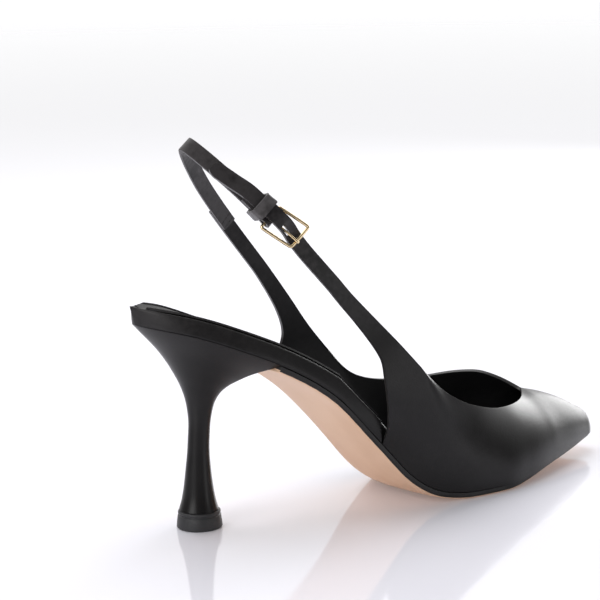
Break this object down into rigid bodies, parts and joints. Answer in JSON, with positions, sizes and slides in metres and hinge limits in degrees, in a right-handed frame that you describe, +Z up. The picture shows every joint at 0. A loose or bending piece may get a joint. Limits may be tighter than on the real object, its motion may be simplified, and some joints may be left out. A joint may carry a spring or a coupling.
{
  "type": "slingback pump",
  "caption": "Pointed slingback pump on a slim flared heel, with an asymmetric throat, a leather sole and a buckled strap round the back.",
  "frame": {"origin": "centre of the flat face under the heel tip, on the floor", "axes": "+X towards the toe along the shoe, +Y towards the inner side of the foot, +Z up"},
  "size_m": [0.2294, 0.0745, 0.1539],
  "materials": {
    "upper_leather": "smooth satin nappa, black",
    "footbed_leather": "smooth lining leather, black",
    "outsole_leather": "natural tan sole leather, matt",
    "heel_leather": "covering leather over a moulded heel, black satin",
    "tip_rubber": "moulded dark grey",
    "strap_leather": "folded nappa, black, lightly creased",
    "frame_brass": "pale gold, polished",
    "prong_brass": "pale gold, polished",
    "keeper_leather": "gathered nappa, black"
  },
  "bodies": {
    "root": {"upper": "upper_leather", "footbed": "footbed_leather", "outsole": "outsole_leather", "heel": "heel_leather", "top_piece": "tip_rubber", "sling_strap": "strap_leather", "buckle_frame": "frame_brass", "buckle_prong": "prong_brass", "keeper": "keeper_leather"}
  },
  "joints": []
}
